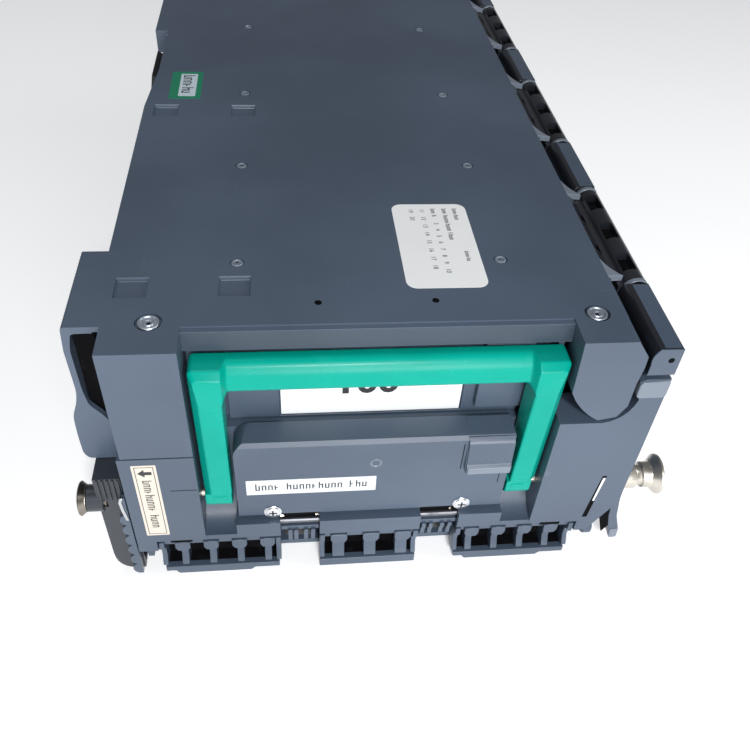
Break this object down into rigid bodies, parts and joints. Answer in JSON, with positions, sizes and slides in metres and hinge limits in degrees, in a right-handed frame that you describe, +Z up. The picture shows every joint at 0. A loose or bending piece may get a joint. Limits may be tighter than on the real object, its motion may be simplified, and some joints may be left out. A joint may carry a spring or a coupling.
{
  "type": "cash recycling cassette",
  "caption": "Lidded banknote cassette with a fold-out green handle, feed rollers and a belt-driven push plate.",
  "frame": {"origin": "on the standing surface under the middle of the case floor", "axes": "+X to the right seen from the handle end, +Y to the rear, +Z up"},
  "size_m": [0.2705, 0.4278, 0.1475],
  "materials": {
    "casing": "satin",
    "dark_casing": "satin",
    "handle_green": "satin",
    "black_plastic": "matte",
    "steel": "turned",
    "zinc_screw": "bright zinc",
    "rubber": "matte",
    "gear_ivory": "satin",
    "card_white": "matte"
  },
  "bodies": {
    "case": {"base_tray": "casing", "right_side_wall": "casing", "front_bulkhead": "casing", "front_cover": "casing", "label_holder": "casing", "denomination_card": "card_white", "drive_cover": "dark_casing", "comb_left": "casing", "comb_middle": "casing", "comb_right": "casing", "handle_pin_left": "steel", "handle_pin_right": "steel", "lid_hinge_pin": "steel", "guide_stud_right": "steel", "guide_stud_left": "steel", "cover_screw_left": "zinc_screw", "cover_screw_right": "zinc_screw", "feed_bush": "gear_ivory", "separation_bush": "gear_ivory", "pickup_bush": "gear_ivory", "push_bush": "gear_ivory", "input_gear_pin": "steel", "rear_pulley_pin": "steel", "push_belt": "rubber", "guide_rod_left": "steel", "guide_rod_right": "steel", "rod_bracket_front": "steel", "rod_bracket_rear": "steel", "stack_floor": "casing", "latch_pin": "steel", "latch_spring": "steel", "rear_connector": "black_plastic", "guard_bar_left": "steel", "guard_bar_right": "steel"},
    "lid": {"lid": "casing", "lid_ear": "casing", "lid_screw_left": "zinc_screw", "lid_screw_right": "zinc_screw"},
    "handle": {"carry_handle": "handle_green"},
    "latch": {"lid_latch": "black_plastic"},
    "feed": {"feed_shaft": "steel", "feed_gear": "gear_ivory", "feed_roller_left": "rubber", "feed_roller_right": "rubber"},
    "separation": {"separation_shaft": "steel", "separation_gear": "gear_ivory", "separation_roller_left": "rubber", "separation_roller_right": "rubber"},
    "pickup": {"pickup_shaft": "steel", "pickup_gear": "gear_ivory", "pickup_roller_left": "rubber", "pickup_roller_right": "rubber"},
    "input": {"input_gear": "gear_ivory"},
    "push_drive": {"push_shaft": "steel", "push_gear": "gear_ivory", "push_pulley_front": "gear_ivory"},
    "push_idler": {"push_pulley_rear": "gear_ivory"},
    "push": {"push_carriage": "black_plastic", "note_push_plate": "dark_casing"},
    "shutter": {"shutter_slide": "casing"}
  },
  "joints": [
    {"name": "lid_hinge", "type": "hinge", "parent": "case", "child": "lid", "pos_m": [0.1165, 0, 0.1372], "axis": [0, 1, 0], "range_deg": [0, 90]},
    {"name": "handle_fold", "type": "hinge", "parent": "case", "child": "handle", "pos_m": [0, -0.203, 0.0535], "axis": [1, 0, 0], "range_deg": [0, 90]},
    {"name": "latch_press", "type": "hinge", "parent": "case", "child": "latch", "pos_m": [-0.1114, 0.058, 0.1075], "axis": [0, -1, 0], "range_deg": [0, 4], "stiffness_Nm_per_rad": 0.3, "deforming": ["latch_spring"]},
    {"name": "feed_spin", "type": "hinge", "parent": "case", "child": "feed", "pos_m": [0, -0.194, 0.0215], "axis": [1, 0, 0], "continuous": true},
    {"name": "separation_spin", "type": "hinge", "parent": "case", "child": "separation", "pos_m": [0, -0.173, 0.0215], "axis": [1, 0, 0], "continuous": true},
    {"name": "input_spin", "type": "hinge", "parent": "case", "child": "input", "pos_m": [0, -0.18318, 0.0395], "axis": [1, 0, 0], "continuous": true},
    {"name": "pickup_spin", "type": "hinge", "parent": "case", "child": "pickup", "pos_m": [0, -0.17237, 0.0575], "axis": [1, 0, 0], "continuous": true},
    {"name": "push_slide", "type": "slide", "parent": "case", "child": "push", "axis": [0, 1, 0], "range_m": [-0.298, 0]},
    {"name": "push_drive_spin", "type": "hinge", "parent": "case", "child": "push_drive", "pos_m": [0, -0.152, 0.017], "axis": [1, 0, 0], "continuous": true},
    {"name": "push_idler_spin", "type": "hinge", "parent": "case", "child": "push_idler", "pos_m": [0, 0.194, 0.017], "axis": [1, 0, 0], "continuous": true},
    {"name": "shutter_lift", "type": "slide", "parent": "case", "child": "shutter", "axis": [0, 0, 1], "range_m": [0, 0.006], "stiffness_N_per_m": 120}
  ],
  "couplings": [
    {"joint": "separation_spin", "follows": "feed_spin", "ratio": -1},
    {"joint": "input_spin", "follows": "feed_spin", "ratio": -1},
    {"joint": "pickup_spin", "follows": "feed_spin", "ratio": 1},
    {"joint": "push_drive_spin", "follows": "push_slide", "rad_per_m": -126.58},
    {"joint": "push_idler_spin", "follows": "push_slide", "rad_per_m": -126.58}
  ]
}
